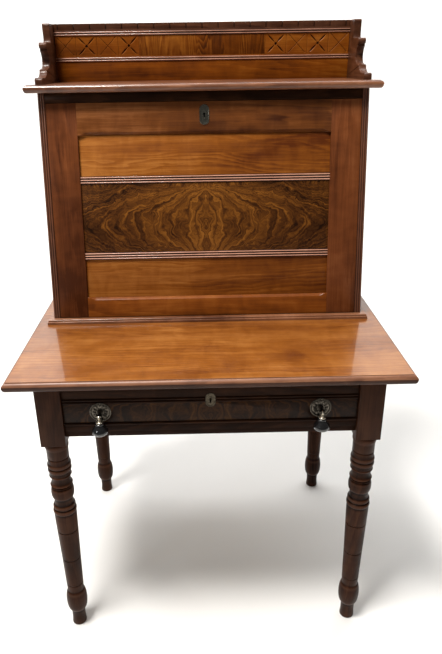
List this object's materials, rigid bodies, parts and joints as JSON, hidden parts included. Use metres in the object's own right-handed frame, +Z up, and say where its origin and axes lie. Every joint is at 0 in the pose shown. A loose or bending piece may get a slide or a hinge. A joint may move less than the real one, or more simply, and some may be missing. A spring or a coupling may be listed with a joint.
{
  "type": "fall-front secretary desk",
  "caption": "Walnut fall-front secretary: drawer table on turned legs with a leaning cabinet whose front folds down for writing.",
  "frame": {"origin": "on the floor under the middle of the table top", "axes": "+Z up, +Y to the back, so the desk faces -Y, +X to its right as seen from the front"},
  "size_m": [0.864, 0.634, 1.4315],
  "materials": {
    "walnut": "varnished walnut, satin",
    "dark_walnut": "varnished walnut, darkened with age, satin",
    "top_walnut": "varnished walnut, worn and glossy",
    "secondary_wood": "plain unvarnished secondary wood",
    "burl_veneer": "book-matched walnut burl veneer, varnished",
    "ebonised_wood": "ebonised and polished",
    "aged_brass": "aged brass",
    "steel": "dull iron screws"
  },
  "bodies": {
    "carcase": {"leg_front_left": "dark_walnut", "leg_front_right": "dark_walnut", "leg_back_left": "dark_walnut", "leg_back_right": "dark_walnut", "apron_left": "dark_walnut", "apron_right": "dark_walnut", "apron_back": "dark_walnut", "front_top_rail": "dark_walnut", "drawer_rail": "dark_walnut", "drawer_runners": "secondary_wood", "drawer_kickers": "secondary_wood", "table_top": "top_walnut", "table_screws": "steel", "case_side_left": "walnut", "case_side_right": "walnut", "case_floor": "walnut", "case_back": "secondary_wood", "case_top_rail": "dark_walnut", "base_mould": "top_walnut", "cornice": "walnut", "gallery_back": "walnut", "gallery_burl": "burl_veneer", "gallery_brackets": "walnut", "pivot_sockets": "aged_brass", "stay_studs": "aged_brass", "fitment_ends": "walnut", "fitment_shelves": "walnut", "fitment_dividers": "walnut"},
    "drawer": {"drawer_front": "dark_walnut", "drawer_burl": "burl_veneer", "drawer_beading": "dark_walnut", "drawer_sides": "secondary_wood", "drawer_back": "secondary_wood", "drawer_bottom": "secondary_wood", "drawer_lock": "aged_brass", "drawer_escutcheon": "aged_brass", "pull_plates": "aged_brass"},
    "pull_left": {"pull_shank_left": "aged_brass", "pull_drop_left": "ebonised_wood"},
    "pull_right": {"pull_shank_right": "aged_brass", "pull_drop_right": "ebonised_wood"},
    "fall": {"fall_stile_left": "walnut", "fall_stile_right": "walnut", "fall_top_rail": "walnut", "fall_bottom_rail": "walnut", "fall_panel": "walnut", "fall_burl": "burl_veneer", "fall_reeds": "walnut", "fall_lock": "aged_brass", "fall_escutcheon": "aged_brass", "fall_pivots": "aged_brass", "stay_ears": "aged_brass"},
    "stay_left": {"stay_bar_left": "aged_brass"},
    "stay_right": {"stay_bar_right": "aged_brass"},
    "small_drawer_left": {"small_drawer_left_front": "walnut", "small_drawer_left_box": "secondary_wood", "small_drawer_left_knob": "aged_brass"},
    "small_drawer_right": {"small_drawer_right_front": "walnut", "small_drawer_right_box": "secondary_wood", "small_drawer_right_knob": "aged_brass"}
  },
  "joints": [
    {"name": "drawer_slide", "type": "slide", "parent": "carcase", "child": "drawer", "axis": [0, -1, 0], "range_m": [0, 0.35]},
    {"name": "pull_left_swing", "type": "hinge", "parent": "drawer", "child": "pull_left", "pos_m": [-0.24, -0.2995, 0.64515], "axis": [1, 0, 0], "range_deg": [-80, 5]},
    {"name": "pull_right_swing", "type": "hinge", "parent": "drawer", "child": "pull_right", "pos_m": [0.24, -0.2995, 0.64515], "axis": [1, 0, 0], "range_deg": [-80, 5]},
    {"name": "fall_hinge", "type": "hinge", "parent": "carcase", "child": "fall", "pos_m": [0, 0.01415, 0.76268], "axis": [1, 0, 0], "range_deg": [0, 100]},
    {"name": "stay_left_fold", "type": "hinge", "parent": "fall", "child": "stay_left", "pos_m": [-0.365, 0.05336, 0.88137], "axis": [1, 0, 0], "range_deg": [-50, 0]},
    {"name": "stay_right_fold", "type": "hinge", "parent": "fall", "child": "stay_right", "pos_m": [0.365, 0.05336, 0.88137], "axis": [1, 0, 0], "range_deg": [-50, 0]},
    {"name": "small_drawer_left_slide", "type": "slide", "parent": "carcase", "child": "small_drawer_left", "axis": [0, -1, 0], "range_m": [0, 0.09]},
    {"name": "small_drawer_right_slide", "type": "slide", "parent": "carcase", "child": "small_drawer_right", "axis": [0, -1, 0], "range_m": [0, 0.09]}
  ],
  "couplings": [
    {"joint": "stay_left_fold", "follows": "fall_hinge", "ratio": -0.5},
    {"joint": "stay_right_fold", "follows": "fall_hinge", "ratio": -0.5}
  ]
}
